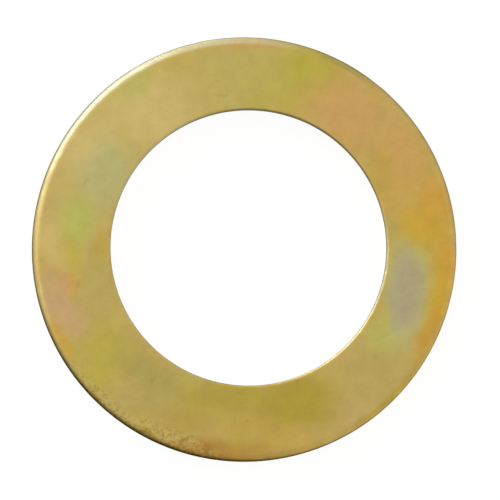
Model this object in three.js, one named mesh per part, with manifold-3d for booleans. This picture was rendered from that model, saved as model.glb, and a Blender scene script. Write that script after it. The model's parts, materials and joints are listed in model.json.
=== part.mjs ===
// Flat washer: one disc stamped from steel strip, to go under the head or nut of a 24 mm bolt.
//
// Sizes are in millimetres and +Z is up. The origin is the centre of the disc's outline, on its
// lower face. A compound die cuts the rim and the bore in one stroke and from the same side, so
// both walls have the same four zones, from the upper face down: an edge that the die has rolled
// over, a straight burnished land, a fractured zone that leans back into the metal, and a lower
// edge that tumbling has rounded.

import * as THREE from 'three';
import { mergeVertices } from 'three/addons/utils/BufferGeometryUtils.js';
import Module from 'manifold-3d';

// Overall sizes, as made, within the limits of the 25 x 39 x 4 washer.
const OUTER_DIAMETER = 38.7;
const BORE_DIAMETER = 25.15;
const THICKNESS = 4.0;

// The bore's axis, from the centre of the disc's outline: the punch sat a little off centre.
const BORE_OFFSET_X = 0.4;
const BORE_OFFSET_Y = 0.15;

// Upper edge of each wall, rolled over by the die.
const RIM_ROLL_WIDTH = 0.85;
const RIM_ROLL_DEPTH = 0.4;
const BORE_ROLL_WIDTH = 0.32;
const BORE_ROLL_DEPTH = 0.15;

// Straight land under each rolled edge, where the die and the punch have burnished the wall.
const RIM_LAND_HEIGHT = 1.2;
const BORE_LAND_HEIGHT = 1.4;

// Fractured zone under the land, and the rounded lower edge that ends it.
const FRACTURE_LEAN = 0.15;
const LOWER_EDGE_RADIUS = 0.15;

// Facets: around the axis, along a rolled edge, and along a rounded lower edge.
const STEPS_AROUND = 144;
const STEPS_PER_ROLL = 5;
const STEPS_PER_LOWER_EDGE = 3;

// How far the bore's cutter stands past both faces.
const CUTTER_OVERRUN = 1.0;

const QUARTER_TURN = Math.PI / 2;

const manifold = await Module();
manifold.setup();

// The wall of a cut edge, from the lower face up. Each point says how far the wall stands back
// into the metal from its land, and its height above the lower face.
function cutWall(rollWidth, rollDepth, landHeight) {
  const wall = [];
  for (let step = 0; step <= STEPS_PER_LOWER_EDGE; step += 1) {
    const turn = QUARTER_TURN * (step / STEPS_PER_LOWER_EDGE);
    wall.push({
      back: FRACTURE_LEAN + LOWER_EDGE_RADIUS * (1 - Math.sin(turn)),
      height: LOWER_EDGE_RADIUS * (1 - Math.cos(turn)),
    });
  }
  wall.push({ back: 0, height: THICKNESS - rollDepth - landHeight });
  for (let step = 0; step <= STEPS_PER_ROLL; step += 1) {
    const turn = QUARTER_TURN * (step / STEPS_PER_ROLL);
    wall.push({
      back: rollWidth * (1 - Math.cos(turn)),
      height: THICKNESS - rollDepth * (1 - Math.sin(turn)),
    });
  }
  return wall;
}

// A solid of revolution about +Z, from an outline of radii and heights that starts and ends on
// the axis and runs from the bottom up.
function turnedSolid(outline) {
  const points = outline.map(({ radius, height }) => new THREE.Vector2(radius, height));
  const geometry = new THREE.LatheGeometry(points, STEPS_AROUND).rotateX(QUARTER_TURN);
  geometry.deleteAttribute('normal');
  geometry.deleteAttribute('uv');
  const merged = mergeVertices(geometry);
  const mesh = new manifold.Mesh({
    numProp: 3,
    vertProperties: new Float32Array(merged.attributes.position.array),
    triVerts: new Uint32Array(merged.index.array),
  });
  return new manifold.Manifold(mesh);
}

// The blank that the outer die cuts, before the bore.
function blankDisc() {
  const rimRadius = OUTER_DIAMETER / 2;
  const rim = cutWall(RIM_ROLL_WIDTH, RIM_ROLL_DEPTH, RIM_LAND_HEIGHT);
  return turnedSolid([
    { radius: 0, height: 0 },
    ...rim.map(({ back, height }) => ({ radius: rimRadius - back, height })),
    { radius: 0, height: THICKNESS },
  ]);
}

// What the punch takes out: the bore with its rolled and rounded edges, past both faces.
function boreSlug() {
  const boreRadius = BORE_DIAMETER / 2;
  const wall = cutWall(BORE_ROLL_WIDTH, BORE_ROLL_DEPTH, BORE_LAND_HEIGHT);
  const edge = wall.map(({ back, height }) => ({ radius: boreRadius + back, height }));
  const lowest = edge[0];
  const highest = edge[edge.length - 1];
  const slug = turnedSolid([
    { radius: 0, height: -CUTTER_OVERRUN },
    { radius: lowest.radius, height: -CUTTER_OVERRUN },
    ...edge,
    { radius: highest.radius, height: THICKNESS + CUTTER_OVERRUN },
    { radius: 0, height: THICKNESS + CUTTER_OVERRUN },
  ]);
  return slug.translate([BORE_OFFSET_X, BORE_OFFSET_Y, 0]);
}

// The finished solid's surface, as triangles with normals.
function solidGeometry(solid) {
  const { vertProperties, triVerts } = solid.getMesh();
  const geometry = new THREE.BufferGeometry();
  geometry.setAttribute('position', new THREE.BufferAttribute(vertProperties, 3));
  geometry.setIndex(new THREE.BufferAttribute(triVerts, 1));
  geometry.computeVertexNormals();
  return geometry;
}

function flatWasher() {
  const yellowZinc = new THREE.MeshStandardMaterial({
    color: 0xbea266,
    roughness: 0.42,
    metalness: 0.9,
  });
  const washer = new THREE.Mesh(solidGeometry(blankDisc().subtract(boreSlug())), yellowZinc);
  washer.name = 'flat_washer';
  return washer;
}

const part = new THREE.Group();
part.add(flatWasher());

export default part;
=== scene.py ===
"""The looks of a flat washer in yellow passivated zinc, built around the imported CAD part.

The washer lies on a pale floor with its rolled edges up, and the camera looks straight down on it.
One fine mesh stands for the CAD solid. It has the same four zones down the rim and down the bore:
a rolled edge, a burnished land, a torn zone that leans into the metal, and a rounded lower edge.
Lengths are metres, as in the frame. Bearings are degrees from +X towards +Y.
"""

import json
import math
import random

import bpy
import numpy as np
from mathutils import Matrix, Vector, noise


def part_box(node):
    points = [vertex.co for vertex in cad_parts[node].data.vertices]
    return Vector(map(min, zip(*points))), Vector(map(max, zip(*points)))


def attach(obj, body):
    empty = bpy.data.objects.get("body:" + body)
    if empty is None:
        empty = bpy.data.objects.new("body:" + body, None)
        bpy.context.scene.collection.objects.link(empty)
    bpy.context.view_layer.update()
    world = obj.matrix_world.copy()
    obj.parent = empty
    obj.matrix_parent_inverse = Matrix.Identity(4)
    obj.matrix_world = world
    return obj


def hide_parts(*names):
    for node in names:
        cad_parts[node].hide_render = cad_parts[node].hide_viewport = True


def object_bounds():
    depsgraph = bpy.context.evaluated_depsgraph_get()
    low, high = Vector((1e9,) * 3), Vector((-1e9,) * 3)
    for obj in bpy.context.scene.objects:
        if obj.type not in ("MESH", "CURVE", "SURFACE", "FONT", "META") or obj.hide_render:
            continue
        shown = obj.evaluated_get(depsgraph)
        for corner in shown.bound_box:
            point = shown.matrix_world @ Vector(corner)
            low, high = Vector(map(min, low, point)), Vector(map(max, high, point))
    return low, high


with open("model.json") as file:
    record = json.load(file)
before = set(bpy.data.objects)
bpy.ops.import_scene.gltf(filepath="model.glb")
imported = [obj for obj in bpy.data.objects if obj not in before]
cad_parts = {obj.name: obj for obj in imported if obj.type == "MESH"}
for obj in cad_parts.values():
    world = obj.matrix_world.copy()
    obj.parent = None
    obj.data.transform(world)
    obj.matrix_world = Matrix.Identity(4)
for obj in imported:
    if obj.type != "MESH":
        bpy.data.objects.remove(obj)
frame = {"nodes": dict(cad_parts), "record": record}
cad_low, cad_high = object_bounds()

MM = 0.001
SEED = 24
CAD_NODE = "flat_washer"
ZONES = ("plated", "burnished", "torn")  # the finishes, each with its own material

# Zones of the cut walls, as in the CAD part.
RIM_ROLL_WIDTH = 0.85 * MM
RIM_ROLL_DEPTH = 0.4 * MM
RIM_LAND_HEIGHT = 1.2 * MM
BORE_ROLL_WIDTH = 0.32 * MM
BORE_ROLL_DEPTH = 0.15 * MM
BORE_LAND_HEIGHT = 1.4 * MM
FRACTURE_LEAN = 0.15 * MM
LOWER_EDGE_RADIUS = 0.15 * MM

# How finely the mesh is divided.
STEPS_AROUND = 720
STEPS_PER_ROLL = 14
STEPS_PER_LAND = 5
STEPS_PER_FRACTURE = 16
STEPS_PER_LOWER_EDGE = 4
STEPS_ACROSS_TOP = 30
STEPS_ACROSS_BOTTOM = 16
MAP_MARGIN = 0.004

# How far the surface strays from the ideal shape. The roll's size and the line where the land tears
# stray both ways, and the rest goes into the metal.
ROLL_VARIATION = 0.12
ROLL_WAVES = 5  # round the washer
LAND_VARIATION = 0.22 * MM
LAND_WAVES = ((14, 1.0), (60, 0.5))  # round the washer, and each one's share
TORN_DEPTH = 0.07 * MM
TORN_WAVES = (1.6, 0.72)  # per mm round and up the washer
TORN_FRACTAL = (0.7, 2.2, 4)  # how fast finer steps fade, how much finer each is, octaves
TORN_CONTRAST = 0.6
FACE_WAVE_DEPTH = 0.012 * MM
FACE_WAVE_LENGTH = 7 * MM

# Knocks of the plating barrel: how many, least and greatest half-width in mm, greatest depth in mm.
RIM_KNOCKS = (60, 0.15, 0.5, 0.03)
BORE_KNOCKS = (30, 0.12, 0.35, 0.02)
FACE_KNOCKS = (50, 0.15, 0.4, 0.006)
KNOCK_INSET = 0.2  # how far in from an edge its knocks are, in widths of its roll
KNOCKS_ON_TOP = 0.7  # the share of them on the upper side
LEAST_KNOCK = 0.3  # the shallowest one's share of the greatest depth

# Light, in units of the white that the camera sees behind the washer.
TENT_BRIGHTNESS = 0.612
HORIZON_BRIGHTNESS = 0.45
DARK_SIDE_BEARING = 236
DARK_SIDE_BRIGHTNESS = 0.01
FACE_BRIGHTNESS = 0.64  # how bright a white upper face would look
GLOSS_BRIGHTNESS = 0.02  # what the clear gloss adds to every film colour on the upper face


def washer_sizes():
    """The washer's centre, radii and heights, from the frame."""
    low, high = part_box(CAD_NODE)
    openings = {o["name"]: o["box_m"] for o in frame["record"]["physics"]["openings"]}
    bore_low, bore_high = openings["bore_square"]
    bore_centre = np.add(bore_low, bore_high)[:2] / 2
    corners = np.array([v.co for v in frame["nodes"][CAD_NODE].data.vertices])
    bore_radius = np.linalg.norm(corners[:, :2] - bore_centre, axis=1).min()
    return {
        "rim_centre": np.array([(low.x + high.x) / 2, (low.y + high.y) / 2]),
        "rim_radius": (high.x - low.x) / 2,
        "bore_centre": bore_centre,
        "bore_radius": bore_radius,
        "bottom": low.z,
        "top": high.z,
    }


# Mesh

def wobble(angles, per_turn, seed):
    """A smooth random curve around the washer, from -1 to 1, with about per_turn waves."""
    span = per_turn / (2 * math.pi)
    return np.array([
        noise.noise(Vector((span * math.cos(a), span * math.sin(a), seed))) for a in angles
    ])


def cut_wall(sizes, angles, roll_width, roll_depth, land_height, seed):
    """The rings of a cut wall from the lower face up.

    Each is how far it stands back from the wall, its height, and the zone that follows it.
    """
    top, bottom = sizes["top"], sizes["bottom"]
    roll_scale = 1 + ROLL_VARIATION * wobble(angles, ROLL_WAVES, seed)
    flat = np.zeros_like(angles)
    land_end = flat + top - roll_depth - land_height
    for turn, (waves, share) in enumerate(LAND_WAVES, start=1):
        land_end += LAND_VARIATION * share * wobble(angles, waves, seed + turn)
    rings = []
    for step in range(STEPS_PER_LOWER_EDGE):
        turn = math.pi / 2 * step / STEPS_PER_LOWER_EDGE
        back = FRACTURE_LEAN + LOWER_EDGE_RADIUS * (1 - math.sin(turn))
        height = bottom + LOWER_EDGE_RADIUS * (1 - math.cos(turn))
        rings.append((flat + back, flat + height, "plated"))
    foot = bottom + LOWER_EDGE_RADIUS
    for step in range(STEPS_PER_FRACTURE):
        share = step / STEPS_PER_FRACTURE
        rings.append((flat + FRACTURE_LEAN * (1 - share), foot + (land_end - foot) * share, "torn"))
    land_top = top - roll_depth * roll_scale
    for step in range(STEPS_PER_LAND):
        share = step / STEPS_PER_LAND
        rings.append((flat, land_end + (land_top - land_end) * share, "burnished"))
    for step in range(STEPS_PER_ROLL + 1):
        turn = math.pi / 2 * step / STEPS_PER_ROLL
        back = roll_width * roll_scale * (1 - math.cos(turn))
        height = top - roll_depth * roll_scale * (1 - math.sin(turn))
        rings.append((back, height, "plated"))
    return rings


def ring_points(centre, radius, angles, height):
    """The points of one ring, whose radius and height may change round it."""
    return np.stack(
        [centre[0] + radius * np.cos(angles), centre[1] + radius * np.sin(angles), height], axis=1
    )


def face_rings(inner, outer, steps):
    """The rings between two rings of a flat face, from inner to outer."""
    return [inner + (outer - inner) * step / steps for step in range(1, steps)]


def washer_rings(sizes, angles):
    """Every ring of the washer in order round its section, and the zone that follows each."""
    rim = [
        (ring_points(sizes["rim_centre"], sizes["rim_radius"] - back, angles, height), zone)
        for back, height, zone in cut_wall(
            sizes, angles, RIM_ROLL_WIDTH, RIM_ROLL_DEPTH, RIM_LAND_HEIGHT, seed=SEED
        )
    ]
    bore = [
        (ring_points(sizes["bore_centre"], sizes["bore_radius"] + back, angles, height), zone)
        for back, height, zone in cut_wall(
            sizes, angles, BORE_ROLL_WIDTH, BORE_ROLL_DEPTH, BORE_LAND_HEIGHT, seed=SEED + 10
        )
    ]
    top = face_rings(bore[-1][0], rim[-1][0], STEPS_ACROSS_TOP)
    bottom = face_rings(rim[0][0], bore[0][0], STEPS_ACROSS_BOTTOM)
    # The rim's rings run down, so the zone that follows each is the next one's.
    rim_down = [(rim[i][0], rim[i - 1][1]) for i in range(len(rim) - 1, 0, -1)]
    rim_down.append((rim[0][0], "plated"))
    return [
        *bore,
        *((points, "plated") for points in top),
        *rim_down,
        *((points, "plated") for points in bottom),
    ]


def quads(ring_count):
    """The faces between each ring and the next, round the section and round the washer."""
    ring = np.arange(ring_count)[:, None] * STEPS_AROUND
    following = np.roll(ring, -1, axis=0)
    step = np.arange(STEPS_AROUND)[None, :]
    after = np.roll(step, -1, axis=1)
    return np.stack([ring + step, following + step, following + after, ring + after], axis=2)


def knocks(chance, sizes):
    """The centre and radius of the circle that each knock lies on, its half-width and its depth."""
    rim_edge = sizes["rim_radius"] - KNOCK_INSET * RIM_ROLL_WIDTH
    bore_edge = sizes["bore_radius"] + KNOCK_INSET * BORE_ROLL_WIDTH
    places = []
    count, least, greatest, depth = RIM_KNOCKS
    for _ in range(count):
        places.append((sizes["rim_centre"], rim_edge, chance.uniform(least, greatest), depth))
    count, least, greatest, depth = BORE_KNOCKS
    for _ in range(count):
        places.append((sizes["bore_centre"], bore_edge, chance.uniform(least, greatest), depth))
    count, least, greatest, depth = FACE_KNOCKS
    for _ in range(count):
        across = chance.uniform(bore_edge, rim_edge)
        places.append((sizes["rim_centre"], across, chance.uniform(least, greatest), depth))
    return places


def dents(points, sizes):
    """How deep the knocks are at each point."""
    chance = random.Random(SEED)
    total = np.zeros(len(points))
    for centre, radius, half_width, depth in knocks(chance, sizes):
        bearing = chance.uniform(0, 2 * math.pi)
        height = sizes["top"] if chance.random() < KNOCKS_ON_TOP else sizes["bottom"]
        spot = np.array([
            centre[0] + radius * math.cos(bearing), centre[1] + radius * math.sin(bearing), height
        ])
        near = np.linalg.norm(points - spot, axis=1) / (half_width * MM)
        total += depth * MM * chance.uniform(LEAST_KNOCK, 1.0) * np.exp(-near ** 2)
    return total


def torn_texture(points):
    """The ragged depth of the torn zone at each point, from 0 to 1: steps that run up the wall."""
    around, up = TORN_WAVES
    found = np.empty(len(points))
    for i, (x, y, z) in enumerate(points / MM):
        place = Vector((around * x, around * y, up * z))
        found[i] = 0.5 + TORN_CONTRAST * noise.fractal(place, *TORN_FRACTAL)
    return np.clip(found, 0, 1)


def face_waves(points):
    """The slow waves that stamping leaves in a flat face, from 0 to 1."""
    return np.array([0.5 + 0.5 * noise.noise(Vector(p) / FACE_WAVE_LENGTH) for p in points])


def bake_map(mesh, points):
    """A UV map of the section rolled out flat, with a row for each half turn round the washer."""
    rings = points.reshape(-1, STEPS_AROUND, 3)
    gaps = np.linalg.norm(np.roll(rings, -1, axis=0) - rings, axis=2).mean(axis=1)
    down = np.append(0, np.cumsum(gaps)) / gaps.sum()
    half_turn = STEPS_AROUND // 2
    step = np.arange(STEPS_AROUND)
    along = (step % half_turn) / half_turn
    corners = np.empty((len(rings), STEPS_AROUND, 4, 2))
    corners[:, :, :2, 0] = along[None, :, None]
    corners[:, :, 2:, 0] = along[None, :, None] + 1 / half_turn
    corners[:, :, (0, 3), 1] = down[:-1, None, None]
    corners[:, :, (1, 2), 1] = down[1:, None, None]
    corners = MAP_MARGIN + (1 - 2 * MAP_MARGIN) * corners
    corners[..., 1] = (corners[..., 1] + (step // half_turn)[None, :, None]) / 2
    mesh.uv_layers.new(name="OFBake").uv.foreach_set("vector", corners.astype(np.float32).ravel())


def washer_mesh(sizes):
    """The washer's fine mesh, whose material slots are in the order of ZONES."""
    angles = np.linspace(0, 2 * math.pi, STEPS_AROUND, endpoint=False)
    rings = washer_rings(sizes, angles)
    points = np.concatenate([ring for ring, _ in rings])
    faces = quads(len(rings)).reshape(-1, 4)
    mesh = bpy.data.meshes.new("washer")
    mesh.from_pydata(points.tolist(), [], faces.tolist())
    zone_of_ring = np.array([ZONES.index(zone) for _, zone in rings], np.int32)
    mesh.polygons.foreach_set("material_index", np.repeat(zone_of_ring, STEPS_AROUND))
    mesh.shade_smooth()
    bake_map(mesh, points)

    normals = np.empty(len(points) * 3, np.float32)
    mesh.vertex_normals.foreach_get("vector", normals)
    normals = normals.reshape(-1, 3)
    torn = np.repeat(zone_of_ring == ZONES.index("torn"), STEPS_AROUND)
    depth = dents(points, sizes)
    depth += FACE_WAVE_DEPTH * face_waves(points) * np.abs(normals[:, 2])
    depth[torn] += TORN_DEPTH * torn_texture(points[torn])
    points -= normals * depth[:, None]
    mesh.vertices.foreach_set("co", points.astype(np.float32).ravel())
    mesh.update()
    return mesh


# Materials

# The passivation film's colours as they look on the lit upper face, in sRGB from 0 to 255. Pale and
# drab are only the tones of painted highlights and painted shade on the rolled edges, and cream is
# also used there for painted highlights and painted reflections.
PALETTE = {
    "gold": (188, 167, 92),
    "khaki": (188, 171, 95),
    "pale": (204, 197, 164),
    "cream": (204, 181, 114),
    "tan": (196, 171, 104),
    "sand": (181, 161, 92),
    "bright": (200, 163, 60),
    "yellow": (190, 172, 78),
    "apricot": (199, 161, 82),
    "pink": (201, 158, 94),
    "rose": (196, 160, 115),
    "orange": (204, 155, 62),
    "deep_orange": (202, 151, 52),
    "ochre": (186, 157, 66),
    "brown": (176, 136, 60),
    "umber": (146, 112, 50),
    "drab": (156, 142, 88),
    "olive": (173, 152, 58),
    "moss": (172, 157, 84),
    "lime": (182, 168, 66),
    "green": (182, 182, 94),
    "sage": (182, 175, 116),
    "violet": (175, 162, 126),
}

# Patches on the upper face, most of them stains of thicker and thinner film and some of them painted
# shade: colour, place from the disc's centre and half-size in rim radii, lean in degrees, strength. A
# later patch lies over an earlier one.
STAINS_AND_PAINTED_SHADE = (
    ("khaki", -0.15, 0.78, 0.45, 0.20, 0, 0.8),
    ("cream", -0.47, 0.65, 0.26, 0.20, 0, 0.8),
    ("cream", -0.73, 0.48, 0.14, 0.15, 0, 0.9),
    ("green", -0.51, 0.79, 0.10, 0.06, 40, 0.5),
    ("pink", 0.05, 0.96, 0.16, 0.05, 0, 0.6),
    ("sage", -0.66, 0.35, 0.14, 0.15, 0, 0.9),
    ("cream", -0.78, 0.44, 0.09, 0.10, 0, 0.6),
    ("tan", -0.86, 0.33, 0.07, 0.14, 0, 0.7),
    ("green", -0.79, 0.13, 0.09, 0.13, 0, 0.9),
    ("yellow", -0.82, -0.04, 0.09, 0.08, 0, 0.7),
    ("sand", -0.69, -0.02, 0.05, 0.10, 0, 0.7),
    ("ochre", -0.65, 0.02, 0.035, 0.08, 0, 0.7),
    ("orange", -0.83, -0.16, 0.07, 0.06, 0, 0.6),
    ("cream", -0.91, 0.03, 0.06, 0.13, 0, 0.7),
    ("rose", -0.89, -0.21, 0.08, 0.13, 0, 0.8),
    ("rose", -0.82, -0.33, 0.10, 0.10, 0, 0.7),
    ("sand", -0.70, -0.21, 0.09, 0.16, 0, 0.7),
    ("orange", -0.87, -0.44, 0.03, 0.12, 28, 0.6),
    ("lime", -0.66, -0.48, 0.12, 0.14, 0, 0.7),
    ("sand", -0.46, -0.72, 0.16, 0.10, 0, 0.8),
    ("moss", -0.45, -0.57, 0.20, 0.10, -38, 0.9),
    ("brown", -0.29, -0.83, 0.18, 0.08, -8, 0.4),
    # The olive patches below the bore are partly the film's colour and partly painted shade; the thin
    # brown one along the lower rim is partly brown scuffing and partly painted shade.
    ("olive", -0.06, -0.70, 0.26, 0.10, 0, 0.7),
    ("brown", -0.13, -0.96, 0.28, 0.05, 2, 0.9),
    ("olive", 0.26, -0.72, 0.18, 0.14, 0, 0.9),
    ("ochre", 0.05, -0.86, 0.18, 0.08, 0, 0.6),
    ("sand", 0.60, -0.60, 0.15, 0.15, 0, 0.6),
    ("rose", 0.50, -0.78, 0.14, 0.09, 0, 0.3),
    ("lime", 0.33, 0.85, 0.17, 0.16, 0, 0.85),
    ("lime", 0.16, 0.68, 0.16, 0.11, 0, 0.4),
    ("apricot", 0.78, 0.32, 0.20, 0.26, 0, 0.8),
    ("pink", 0.50, 0.63, 0.20, 0.20, 0, 0.9),
    ("pink", 0.72, 0.44, 0.13, 0.13, 0, 0.7),
    ("ochre", 0.63, 0.35, 0.06, 0.12, 0, 0.4),
    ("orange", 0.92, 0.20, 0.08, 0.14, 0, 0.8),
    ("bright", 0.85, 0.09, 0.14, 0.10, 0, 0.9),
    ("sand", 0.69, 0.08, 0.05, 0.10, 0, 0.6),
    ("green", 0.77, -0.18, 0.12, 0.22, 0, 0.8),
    ("green", 0.67, -0.40, 0.10, 0.12, 0, 0.6),
    ("sage", 0.77, -0.36, 0.07, 0.14, -10, 0.8),
    ("violet", 0.77, -0.19, 0.09, 0.18, 0, 1.0),
    ("violet", 0.76, -0.20, 0.07, 0.16, 0, 0.8),
    ("bright", 0.93, -0.18, 0.07, 0.22, 0, 1.0),
    ("orange", 0.96, -0.08, 0.05, 0.14, 0, 0.8),
    ("deep_orange", 0.88, -0.42, 0.05, 0.20, -26, 0.7),
)
# The same, for the rolled edges only. Most are painted light: the cream and pale ones are painted
# highlights and painted reflections, the drab ones painted shade, the brown one partly scuffing and
# partly painted shade, and only the two ochre ones are the film's own colour.
EDGE_TINTS_AND_PAINTED_LIGHT = (
    # Painted reflection: cream on the bore's rolled edge, where the white floor would show.
    ("cream", 0.02, 0.01, 0.72, 0.72, 0, 1.0),
    # Painted shade: drab on the bore's upper left roll and the rim's roll at the upper right, which
    # face away from the key light.
    ("drab", -0.25, 0.52, 0.55, 0.40, 0, 0.8),
    ("drab", 0.50, 0.87, 0.14, 0.14, 0, 0.5),
    ("ochre", -0.65, 0.02, 0.10, 0.16, 0, 0.9),
    # Painted reflection: cream on the rim's right edge, where the white floor would show.
    ("cream", 0.97, 0.20, 0.20, 0.45, 0, 0.25),
    # Painted highlights: cream and pale on the rolls that face the softboxes, at the rim's left, upper
    # left and top and the bore's lower right.
    ("cream", -0.98, 0.00, 0.30, 0.45, 0, 0.9),
    ("pale", -0.65, 0.76, 0.55, 0.36, 42, 0.9),
    ("pale", 0.00, 1.00, 0.25, 0.12, 0, 0.5),
    ("pale", 0.45, -0.25, 0.38, 0.38, 0, 0.8),
    ("ochre", 0.70, -0.72, 0.32, 0.32, 0, 0.8),
    # Partly brown scuffing and partly painted shade along the rim's lower edge, on the dark side.
    ("brown", -0.30, -0.97, 0.50, 0.12, 0, 0.6),
)
EDGE_FALL = (0.013, 0.05)  # mm below the upper face where a rolled edge starts and is full
# These shape every patch, the painted highlights, painted reflections and painted shade as well as the
# stains.
STAIN_HEIGHT = 0.15  # rim radii below the upper face where a stain has faded out
STAIN_SOFTNESS = 1.5  # how far a stain fades out, in its half-sizes
STAIN_CORE = 0.2  # the share of that distance over which it keeps its full strength
STAIN_WARP = 0.07  # rim radii by which a stain's outline wanders

# The film's drift over the whole washer: colour at each value of a slow noise.
CLOUD = (
    (0.30, "violet"),
    (0.38, "lime"),
    (0.45, "gold"),
    (0.53, "tan"),
    (0.61, "pink"),
    (0.70, "orange"),
)
CLOUD_SHARE = (0.7, 0.3)  # how much of it shows over plain gold: below, and on the upper face

# Scuffs along the lower left rim: as stains, but only in a speckle's hollows or on its high spots. The
# umber ones in the hollows are partly brown scuffing and partly painted shade of the rim's dark side.
SCUFFS_AND_PAINTED_SHADE = (
    ("umber", -0.34, -0.92, 0.34, 0.045, -19, 0.6),
    ("umber", -0.68, -0.70, 0.24, 0.045, -44, 0.5),
)
RAISED_SCUFFS = (
    ("cream", -0.36, -0.91, 0.30, 0.04, -21, 0.4),
    ("cream", -0.66, -0.71, 0.22, 0.04, -43, 0.4),
)
SPECKLE_HOLLOW = (0.50, 0.40)  # values of the speckle's noise where its hollows start and are full
SPECKLE_RAISED = (0.50, 0.60)  # the same for its high spots

# Noises: waves per rim radius, octaves and roughness.
CLOUD_NOISE = (3.0, 2.5)
WARP_NOISE = (4.0, 1.0)
SPECKLE_NOISE = (60.0, 4.0, 0.7)

# Each zone's roughness, how much of the film's brightness it keeps, and its fine relief: waves per mm
# round and up the washer, octaves and depth in mm.
ROUGHNESS = {"plated": (0.34, 0.46), "burnished": (0.28, 0.42), "torn": (0.48, 0.68)}
BRIGHTNESS = {"plated": (0.92, 1.06), "burnished": (0.80, 1.02), "torn": (0.66, 1.0)}
RELIEF = {
    "plated": ((0.8, 0.8, 2, 0.008), (5.0, 5.0, 3, 0.002)),
    "burnished": ((5.0, 0.3, 3, 0.006), (9.0, 3.0, 2, 0.002)),
    "torn": ((2.5, 1.2, 5, 0.030), (9.0, 6.0, 3, 0.010)),
}
RELIEF_ROUGHNESS = 0.6  # of its noise

# Polish: a noise, with its waves per mm, and the values between which it turns dull metal bright
# and rough metal smooth.
POLISH_NOISE = (0.7, 5.0, 0.65)
DULL_TO_BRIGHT = (0.25, 0.75)
ROUGH_TO_SMOOTH = (0.3, 0.7)

# Hairline scratches, which follow the middle value of a drawn-out noise.
SCRATCH_BEARINGS = (24, 97)
SCRATCH_WAVES = (0.12, 1.4, 0.5)  # per mm: along the scratches, across them and up
SCRATCH_WIDTH = 0.012  # how far from the noise's middle value a scratch ends
SCRATCH_BREAKS_NOISE = (0.5, 1.0)  # waves per mm and octaves
SCRATCH_BREAKS = (0.54, 0.64)  # values of that noise where a scratch starts and is whole
SCRATCH_DEPTH = 0.002  # mm
SCRATCH_DARKENING = 0.12

METALLIC = 0.95
SEALER = {"Coat Weight": 0.8, "Coat Roughness": 0.18, "Coat IOR": 1.5}


def linear(channel):
    """An sRGB channel from 0 to 255 as linear light."""
    value = channel / 255
    return value / 12.92 if value <= 0.04045 else ((value + 0.055) / 1.055) ** 2.4


def film(name):
    """The reflectance, as RGBA, that gives a palette colour under the tent's light: a film colour, and
    also the tones of painted highlights, reflections and shade.
    """
    bare = [(linear(c) - GLOSS_BRIGHTNESS) / FACE_BRIGHTNESS for c in PALETTE[name]]
    return (*(min(1.0, max(0.0, c)) for c in bare), 1.0)


class Tree:
    """A material's or world's node tree, with short ways to add and link nodes."""

    def __init__(self, owner):
        owner.use_nodes = True
        self.tree = owner.node_tree
        self.tree.nodes.clear()

    def feed(self, socket, value):
        """Sets an input to a value, or links it where the value is another node's output."""
        if isinstance(value, bpy.types.NodeSocket):
            self.tree.links.new(value, socket)
        else:
            socket.default_value = value

    def add(self, kind, inputs, **settings):
        """A new node. Its inputs are named or numbered, and each is a value or another's output."""
        node = self.tree.nodes.new(kind)
        for name, value in settings.items():
            setattr(node, name, value)
        for name, value in inputs.items():
            self.feed(node.inputs[name], value)
        return node

    def noise(self, place, scale, octaves, roughness=0.5):
        """A noise node, of which Fac is one number and Color is three."""
        inputs = {"Vector": place, "Scale": scale, "Detail": octaves, "Roughness": roughness}
        return self.add("ShaderNodeTexNoise", inputs)

    def spread(self, value, low, high, to_low=0.0, to_high=1.0):
        """value eased from low..high to to_low..to_high, and held at the ends."""
        inputs = {
            "Value": value, "From Min": low, "From Max": high, "To Min": to_low, "To Max": to_high,
        }
        node = self.add("ShaderNodeMapRange", inputs, interpolation_type="SMOOTHSTEP")
        return node.outputs["Result"]

    def maths(self, operation, a, b=0.0):
        """The number that an operation makes of a and b."""
        return self.add("ShaderNodeMath", {0: a, 1: b}, operation=operation).outputs["Value"]

    def vector(self, operation, a, b):
        """The vector that an operation makes of a and b."""
        return self.add("ShaderNodeVectorMath", {0: a, 1: b}, operation=operation).outputs["Vector"]

    def mix(self, share, a, b, blend="MIX"):
        """Colours a and b mixed."""
        node = self.add("ShaderNodeMix", {}, data_type="RGBA", blend_type=blend)
        sockets = {s.name: s for s in node.inputs if s.enabled}
        for name, value in {"Factor": share, "A": a, "B": b}.items():
            self.feed(sockets[name], value)
        return next(s for s in node.outputs if s.enabled)

    def end(self, kind, shader):
        """Gives the tree its output node."""
        self.add(kind, {"Surface": shader})


def blot(tree, place, patch, top):
    """A patch's share of the colour: its strength in the middle, easing to 0 where it fades out."""
    _, x, y, half_width, half_height, lean, strength = patch
    inputs = {
        "Vector": place,
        "Location": (x, y, top),
        "Rotation": (0, 0, math.radians(lean)),
        "Scale": (STAIN_SOFTNESS * half_width, STAIN_SOFTNESS * half_height, STAIN_HEIGHT),
    }
    local = tree.add("ShaderNodeMapping", inputs, vector_type="TEXTURE").outputs["Vector"]
    nearness = tree.add("ShaderNodeTexGradient", {"Vector": local}, gradient_type="SPHERICAL")
    return tree.spread(nearness.outputs["Fac"], 0.0, 1 - STAIN_CORE, 0.0, strength)


def patched(tree, colour, place, patch, top, limit=None):
    """The colour with a patch laid over it, as far as a limit lets it. Patches are film stains,
    scuffing, painted highlights, painted reflections and painted shade.
    """
    share = blot(tree, place, patch, top)
    if limit is not None:
        share = tree.maths("MULTIPLY", share, limit)
    return tree.mix(share, colour, film(patch[0]))


def wandering(tree, place):
    """The place shifted a little and smoothly, so that the outlines of the patches wander."""
    warp = tree.noise(place, *WARP_NOISE).outputs["Color"]
    shift = tree.vector("SUBTRACT", warp, (0.5, 0.5, 0.5))
    reach = (2 * STAIN_WARP, 2 * STAIN_WARP, 0)
    return tree.vector("ADD", place, tree.vector("MULTIPLY", shift, reach))


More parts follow.
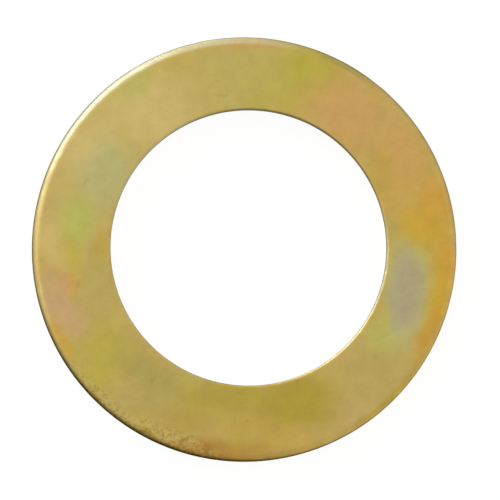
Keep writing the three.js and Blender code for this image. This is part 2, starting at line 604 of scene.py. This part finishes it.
def cloud(tree, place):
    """Film colour that drifts slowly over the whole washer."""
    drift = tree.noise(place, *CLOUD_NOISE).outputs["Fac"]
    ramp = tree.add("ShaderNodeValToRGB", {"Fac": drift})
    elements = ramp.color_ramp.elements
    while len(elements) < len(CLOUD):
        elements.new(0.5)
    for element, (position, name) in zip(elements, CLOUD):
        element.position = position
        element.color = film(name)
    return ramp.outputs["Color"]


def film_and_painted_light(tree, millimetres, sizes):
    """The film's colour and painted light: a cloud everywhere, and on the upper face stains and some
    painted shade over a calmer ground, with painted highlights, reflections and shade on the rolled
    edges and scuffing that is partly painted shade.
    """
    radius = sizes["rim_radius"] / MM
    place = tree.vector("MULTIPLY", millimetres, (1 / radius, 1 / radius, 1 / radius))
    top = sizes["top"] / sizes["rim_radius"]
    height = tree.add("ShaderNodeSeparateXYZ", {"Vector": place}).outputs["Z"]
    clouded = tree.spread(height, top - STAIN_HEIGHT, top, *CLOUD_SHARE)
    colour = tree.mix(clouded, film("gold"), cloud(tree, place))
    near = wandering(tree, place)
    for patch in STAINS_AND_PAINTED_SHADE:
        colour = patched(tree, colour, near, patch, top)
    # Over the rolled edges: the edge patches, mostly painted highlights, painted reflections and
    # painted shade.
    edge_start, edge_full = (top - fall * MM / sizes["rim_radius"] for fall in EDGE_FALL)
    rolled = tree.spread(height, edge_full, edge_start, 1.0, 0.0)
    for patch in EDGE_TINTS_AND_PAINTED_LIGHT:
        colour = patched(tree, colour, near, patch, top, rolled)
    speckle = tree.noise(place, *SPECKLE_NOISE).outputs["Fac"]
    # Scuffing along the lower left rim, the umber part of it partly painted shade.
    for speckled_patches, ends in ((SCUFFS_AND_PAINTED_SHADE, SPECKLE_HOLLOW), (RAISED_SCUFFS, SPECKLE_RAISED)):
        specks = tree.spread(speckle, *ends)
        for speckled_patch in speckled_patches:
            colour = patched(tree, colour, near, speckled_patch, top, specks)
    return colour


def hairlines(tree, millimetres, bearing):
    """Thin broken scratches that run about one way: 1 on a scratch, else 0."""
    inputs = {
        "Vector": millimetres,
        "Location": (bearing, 0, 0),  # so that each bearing's scratches differ
        "Rotation": (0, 0, math.radians(bearing)),
    }
    turned = tree.add("ShaderNodeMapping", inputs).outputs["Vector"]
    drawn_out = tree.vector("MULTIPLY", turned, SCRATCH_WAVES)
    drift = tree.noise(drawn_out, 1.0, 0.0).outputs["Fac"]
    off_line = tree.maths("ABSOLUTE", tree.maths("SUBTRACT", drift, 0.5))
    line = tree.spread(off_line, 0.0, SCRATCH_WIDTH, 1.0, 0.0)
    breaks = tree.noise(turned, *SCRATCH_BREAKS_NOISE).outputs["Fac"]
    return tree.maths("MULTIPLY", line, tree.spread(breaks, *SCRATCH_BREAKS))


def relief(tree, millimetres, zone):
    """The height of a zone's fine relief, in mm."""
    total = 0.0
    for around, up, octaves, depth in RELIEF[zone]:
        scaled = tree.vector("MULTIPLY", millimetres, (around, around, up))
        wave = tree.noise(scaled, 1.0, octaves, RELIEF_ROUGHNESS).outputs["Fac"]
        total = tree.maths("ADD", total, tree.maths("MULTIPLY", wave, depth))
    return total


def grey(tree, value):
    """A number as a grey."""
    inputs = {"Red": value, "Green": value, "Blue": value}
    return tree.add("ShaderNodeCombineColor", inputs).outputs["Color"]


def zinc(zone, sizes):
    """Yellow passivated zinc, as it is on one zone of the washer, with painted highlights, painted
    reflections and painted shade on its rolled edges.
    """
    material = bpy.data.materials.new(f"yellow_zinc_{zone}")
    tree = Tree(material)
    place = tree.add("ShaderNodeTexCoord", {}).outputs["Object"]
    millimetres = tree.vector("MULTIPLY", place, (1 / MM, 1 / MM, 1 / MM))
    colour = film_and_painted_light(tree, millimetres, sizes)
    height = relief(tree, millimetres, zone)
    polish = tree.noise(millimetres, *POLISH_NOISE).outputs["Fac"]
    bright = tree.spread(polish, *DULL_TO_BRIGHT, *BRIGHTNESS[zone])
    roughness = tree.spread(polish, *ROUGH_TO_SMOOTH, *reversed(ROUGHNESS[zone]))
    if zone == "plated":
        scratches = tree.maths("MAXIMUM", *(hairlines(tree, millimetres, b) for b in SCRATCH_BEARINGS))
        groove = tree.maths("MULTIPLY", scratches, SCRATCH_DEPTH)
        height = tree.maths("SUBTRACT", height, groove)
        darkening = tree.maths("MULTIPLY", scratches, SCRATCH_DARKENING)
        bright = tree.maths("SUBTRACT", bright, darkening)
    colour = tree.mix(1.0, colour, grey(tree, bright), "MULTIPLY")
    bump = tree.add("ShaderNodeBump", {"Height": height, "Distance": MM})
    shader = tree.add(
        "ShaderNodeBsdfPrincipled",
        {
            "Base Color": colour,
            "Metallic": METALLIC,
            "Roughness": roughness,
            "Normal": bump.outputs["Normal"],
            "Coat Normal": bump.outputs["Normal"],
            **SEALER,
        },
    )
    tree.end("ShaderNodeOutputMaterial", shader.outputs["BSDF"])
    return material


# Stage

FLOOR_HALF = 2.0
FLOOR_GAP = 0.02 * MM  # below the washer, so that the two don't share a plane
FLOOR_GLOW = 0.93  # the floor's own light to the camera, so that it looks white
FLOOR_SHADE = 0.15  # the part of its white that shadows can take from it
# The darkening of the floor towards the dark side, which only the washer sees, is painted shade, as of
# the washer's contact shadow.
FLOOR_BOUNCE = (0.5, 0.05)  # its reflectance as the washer sees it, and the same on the dark side
FLOOR_FADE = (0.0, 20 * MM)  # how far towards the dark side the change starts and ends

# How the tent changes: from the horizon's brightness to its own between two heights of sight, and to
# the dark side's between two reaches towards it.
HORIZON_BAND = (0.12, 0.42)
DARK_SIDE_BAND = (0.52, 0.88)

# Softboxes: bearing, elevation, width, height, radiance.
SOFTBOXES = {
    "key_light": (136, 41, 0.30, 0.16, 2.6),
    "upper_light": (160, 63, 0.26, 0.12, 0.5),
    "low_light": (110, 8, 0.34, 0.10, 2.0),
    "fill_light": (330, 12, 0.6, 0.16, 0.4),
}
SOFTBOX_DISTANCE = 0.5

CAMERA_DISTANCE = 1.2
CAMERA_REACH = 10  # how far it sees
CAMERA_LEAN = 2.2  # degrees from straight down
CAMERA_BEARING = 250
WASHER_SHARE = 0.8496  # the rim's diameter as a share of the picture's width
PICTURE_OFFSET = (0.0273, -0.0038)  # the picture's middle from the disc's centre, in rim radii


def direction(bearing, elevation):
    """The unit vector that points along a bearing and an elevation."""
    b, e = math.radians(bearing), math.radians(elevation)
    return Vector((math.cos(b) * math.cos(e), math.sin(b) * math.cos(e), math.sin(e)))


def towards_dark_side(tree, place):
    """How far a place or a direction reaches towards the tent's dark side."""
    inputs = {0: place, 1: direction(DARK_SIDE_BEARING, 0)}
    return tree.add("ShaderNodeVectorMath", inputs, operation="DOT_PRODUCT").outputs["Value"]


def floor():
    """The pale floor: near white to the camera, and painted darker to the washer on the dark side, a
    painted shade.
    """
    mesh = bpy.data.meshes.new("floor")
    half = FLOOR_HALF
    corners = [(-half, -half, 0), (half, -half, 0), (half, half, 0), (-half, half, 0)]
    mesh.from_pydata(corners, [], [(0, 1, 2, 3)])
    piece = bpy.data.objects.new("floor", mesh)
    piece.location.z = cad_low.z - FLOOR_GAP
    bpy.context.scene.collection.objects.link(piece)
    material = bpy.data.materials.new("floor")
    tree = Tree(material)
    shade = tree.add("ShaderNodeBsdfDiffuse", {"Color": (FLOOR_SHADE, FLOOR_SHADE, FLOOR_SHADE, 1)})
    glow = tree.add("ShaderNodeEmission", {"Strength": FLOOR_GLOW})
    seen = tree.add("ShaderNodeAddShader", {0: shade.outputs[0], 1: glow.outputs[0]})
    place = tree.add("ShaderNodeTexCoord", {}).outputs["Object"]
    reflectance = tree.spread(towards_dark_side(tree, place), *FLOOR_FADE, *FLOOR_BOUNCE)
    bounce = tree.add("ShaderNodeBsdfDiffuse", {"Color": grey(tree, reflectance)})
    to_camera = tree.add("ShaderNodeLightPath", {}).outputs["Is Camera Ray"]
    inputs = {0: to_camera, 1: bounce.outputs[0], 2: seen.outputs[0]}
    tree.end("ShaderNodeOutputMaterial", tree.add("ShaderNodeMixShader", inputs).outputs[0])
    mesh.materials.append(material)


def softbox(name, bearing, elevation, width, height, radiance):
    """A rectangular light aimed at the washer, which the camera doesn't see."""
    light = bpy.data.lights.new(name, "AREA")
    light.shape = "RECTANGLE"
    light.size = width
    light.size_y = height
    light.energy = radiance * math.pi * width * height
    box = bpy.data.objects.new(name, light)
    away = direction(bearing, elevation)
    box.location = away * SOFTBOX_DISTANCE
    box.rotation_euler = away.to_track_quat("Z", "Y").to_euler()
    box.visible_camera = False
    bpy.context.scene.collection.objects.link(box)


def tent():
    """The white tent round the washer: bright above, dim at the horizon, dark on one side."""
    world = bpy.data.worlds.new("tent")
    bpy.context.scene.world = world
    tree = Tree(world)
    sight = tree.add("ShaderNodeTexCoord", {}).outputs["Generated"]
    up = tree.add("ShaderNodeSeparateXYZ", {"Vector": sight}).outputs["Z"]
    above = tree.spread(up, *HORIZON_BAND, HORIZON_BRIGHTNESS, TENT_BRIGHTNESS)
    darkest = DARK_SIDE_BRIGHTNESS / TENT_BRIGHTNESS
    side = tree.spread(towards_dark_side(tree, sight), *DARK_SIDE_BAND, 1.0, darkest)
    light = tree.maths("MULTIPLY", above, side)
    to_camera = tree.add("ShaderNodeLightPath", {}).outputs["Is Camera Ray"]
    strength = tree.maths("MAXIMUM", light, to_camera)
    background = tree.add("ShaderNodeBackground", {"Color": (1, 1, 1, 1), "Strength": strength})
    tree.end("ShaderNodeOutputWorld", background.outputs["Background"])


def camera(sizes):
    """The camera above the washer, framed as the photograph is."""
    data = bpy.data.cameras.new("camera")
    data.lens = data.sensor_width * CAMERA_DISTANCE * WASHER_SHARE / (2 * sizes["rim_radius"])
    data.clip_end = CAMERA_REACH
    eye = bpy.data.objects.new("camera", data)
    right, up = PICTURE_OFFSET
    middle = Vector((*sizes["rim_centre"], sizes["top"]))
    middle += Vector((right, up, 0)) * sizes["rim_radius"]
    away = direction(CAMERA_BEARING, 90 - CAMERA_LEAN)
    eye.location = middle + away * CAMERA_DISTANCE
    eye.rotation_euler = (-math.asin(away.y), math.atan2(away.x, away.z), 0)
    bpy.context.scene.collection.objects.link(eye)
    bpy.context.scene.camera = eye


sizes = washer_sizes()
washer = bpy.data.objects.new("plated_washer", washer_mesh(sizes))
bpy.context.scene.collection.objects.link(washer)
for zone in ZONES:
    washer.data.materials.append(zinc(zone, sizes))
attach(washer, "root")
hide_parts(CAD_NODE)
floor()
tent()
for name, settings in SOFTBOXES.items():
    softbox(name, *settings)
camera(sizes)
bpy.context.scene.view_settings.view_transform = "Standard"
